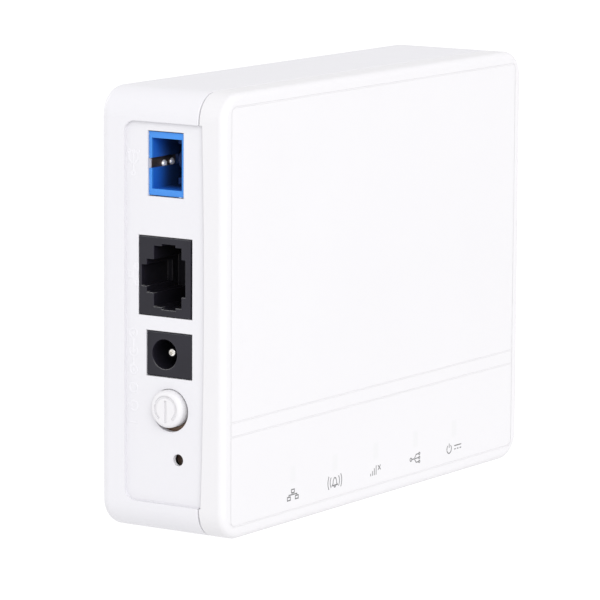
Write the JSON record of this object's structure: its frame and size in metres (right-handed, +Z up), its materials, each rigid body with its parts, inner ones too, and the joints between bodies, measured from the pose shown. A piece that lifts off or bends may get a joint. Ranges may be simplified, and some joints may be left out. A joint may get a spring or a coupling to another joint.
{
  "type": "optical network terminal",
  "caption": "Slim white fibre terminal box on its long edge: recessed side panel with an optical socket, network socket, power socket, push button and reset hole; plain front with indicators.",
  "frame": {"origin": "bottom centre of the whole box, on the surface that the rubber feet stand on", "axes": "+X along the long edge, away from the port panel; +Y from the indicator face to the back; +Z up"},
  "size_m": [0.1148, 0.0304, 0.09],
  "materials": {
    "cover_white": "fine satin moulded ABS",
    "case_white": "fine satin moulded ABS",
    "button_white": "smooth moulded",
    "light_pipe": "clear moulded acrylic",
    "foot_rubber": "matte",
    "label_film": "satin printed film, left blank",
    "screw_steel": "zinc plated",
    "board_green": "solder mask",
    "optic_blue": "smooth moulded",
    "clip_bronze": "dark oxide on spring strip",
    "sleeve_ceramic": "polished zirconia",
    "module_steel": "turned",
    "can_gold": "plated",
    "shield_tin": "tinned sheet",
    "socket_black": "moulded PBT",
    "contact_gold": "gold flash",
    "pin_nickel": "nickel plated",
    "spring_steel": "drawn wire",
    "switch_black": "moulded nylon",
    "plunger_grey": "moulded acetal",
    "guide_brown": "moulded nylon",
    "reset_brown": "moulded nylon",
    "led_resin": "clear epoxy lens",
    "chip_black": "epoxy package",
    "pad_blue": "soft silicone",
    "sink_aluminium": "extruded",
    "ferrite_grey": "sintered",
    "capacitor_sleeve": "shrink sleeve",
    "crystal_can": "drawn can",
    "small_part_tan": "fired"
  },
  "bodies": {
    "housing": {"front_cover": "cover_white", "rear_case": "case_white", "light_guide": "light_pipe", "rubber_feet": "foot_rubber", "rating_label": "label_film", "case_screws": "screw_steel", "board_screws": "screw_steel", "main_board": "board_green", "optical_receptacle": "optic_blue", "receptacle_clip": "clip_bronze", "receptacle_latches": "optic_blue", "ferrule_sleeve": "sleeve_ceramic", "optical_module": "module_steel", "laser_can": "can_gold", "receiver_can": "can_gold", "optics_shield": "shield_tin", "lan_socket_housing": "socket_black", "lan_contacts": "contact_gold", "lan_transformer": "chip_black", "dc_socket_housing": "socket_black", "dc_socket_pin": "pin_nickel", "dc_socket_spring": "spring_steel", "button_guide": "guide_brown", "switch_body": "switch_black", "switch_spring": "spring_steel", "reset_switch_body": "switch_black", "reset_dome": "spring_steel", "indicator_leds": "led_resin", "main_processor": "chip_black", "thermal_pad": "pad_blue", "heat_sink": "sink_aluminium", "memory_chip": "chip_black", "flash_chip": "chip_black", "laser_driver": "chip_black", "power_inductors": "ferrite_grey", "electrolytic_capacitors": "capacitor_sleeve", "crystal": "crystal_can", "small_components": "small_part_tan", "debug_header": "switch_black"},
    "power_key": {"power_button": "button_white", "switch_plunger": "plunger_grey"},
    "reset_key": {"reset_plunger": "reset_brown"}
  },
  "joints": [
    {"name": "power_press", "type": "slide", "parent": "housing", "child": "power_key", "axis": [1, 0, 0], "range_m": [0, 0.0022], "stiffness_N_per_m": 350, "springref_m": -0.002, "deforming": ["switch_spring"]},
    {"name": "reset_press", "type": "slide", "parent": "housing", "child": "reset_key", "axis": [1, 0, 0], "range_m": [0, 0.0003], "stiffness_N_per_m": 800, "springref_m": -0.0003, "deforming": ["reset_dome"]}
  ]
}
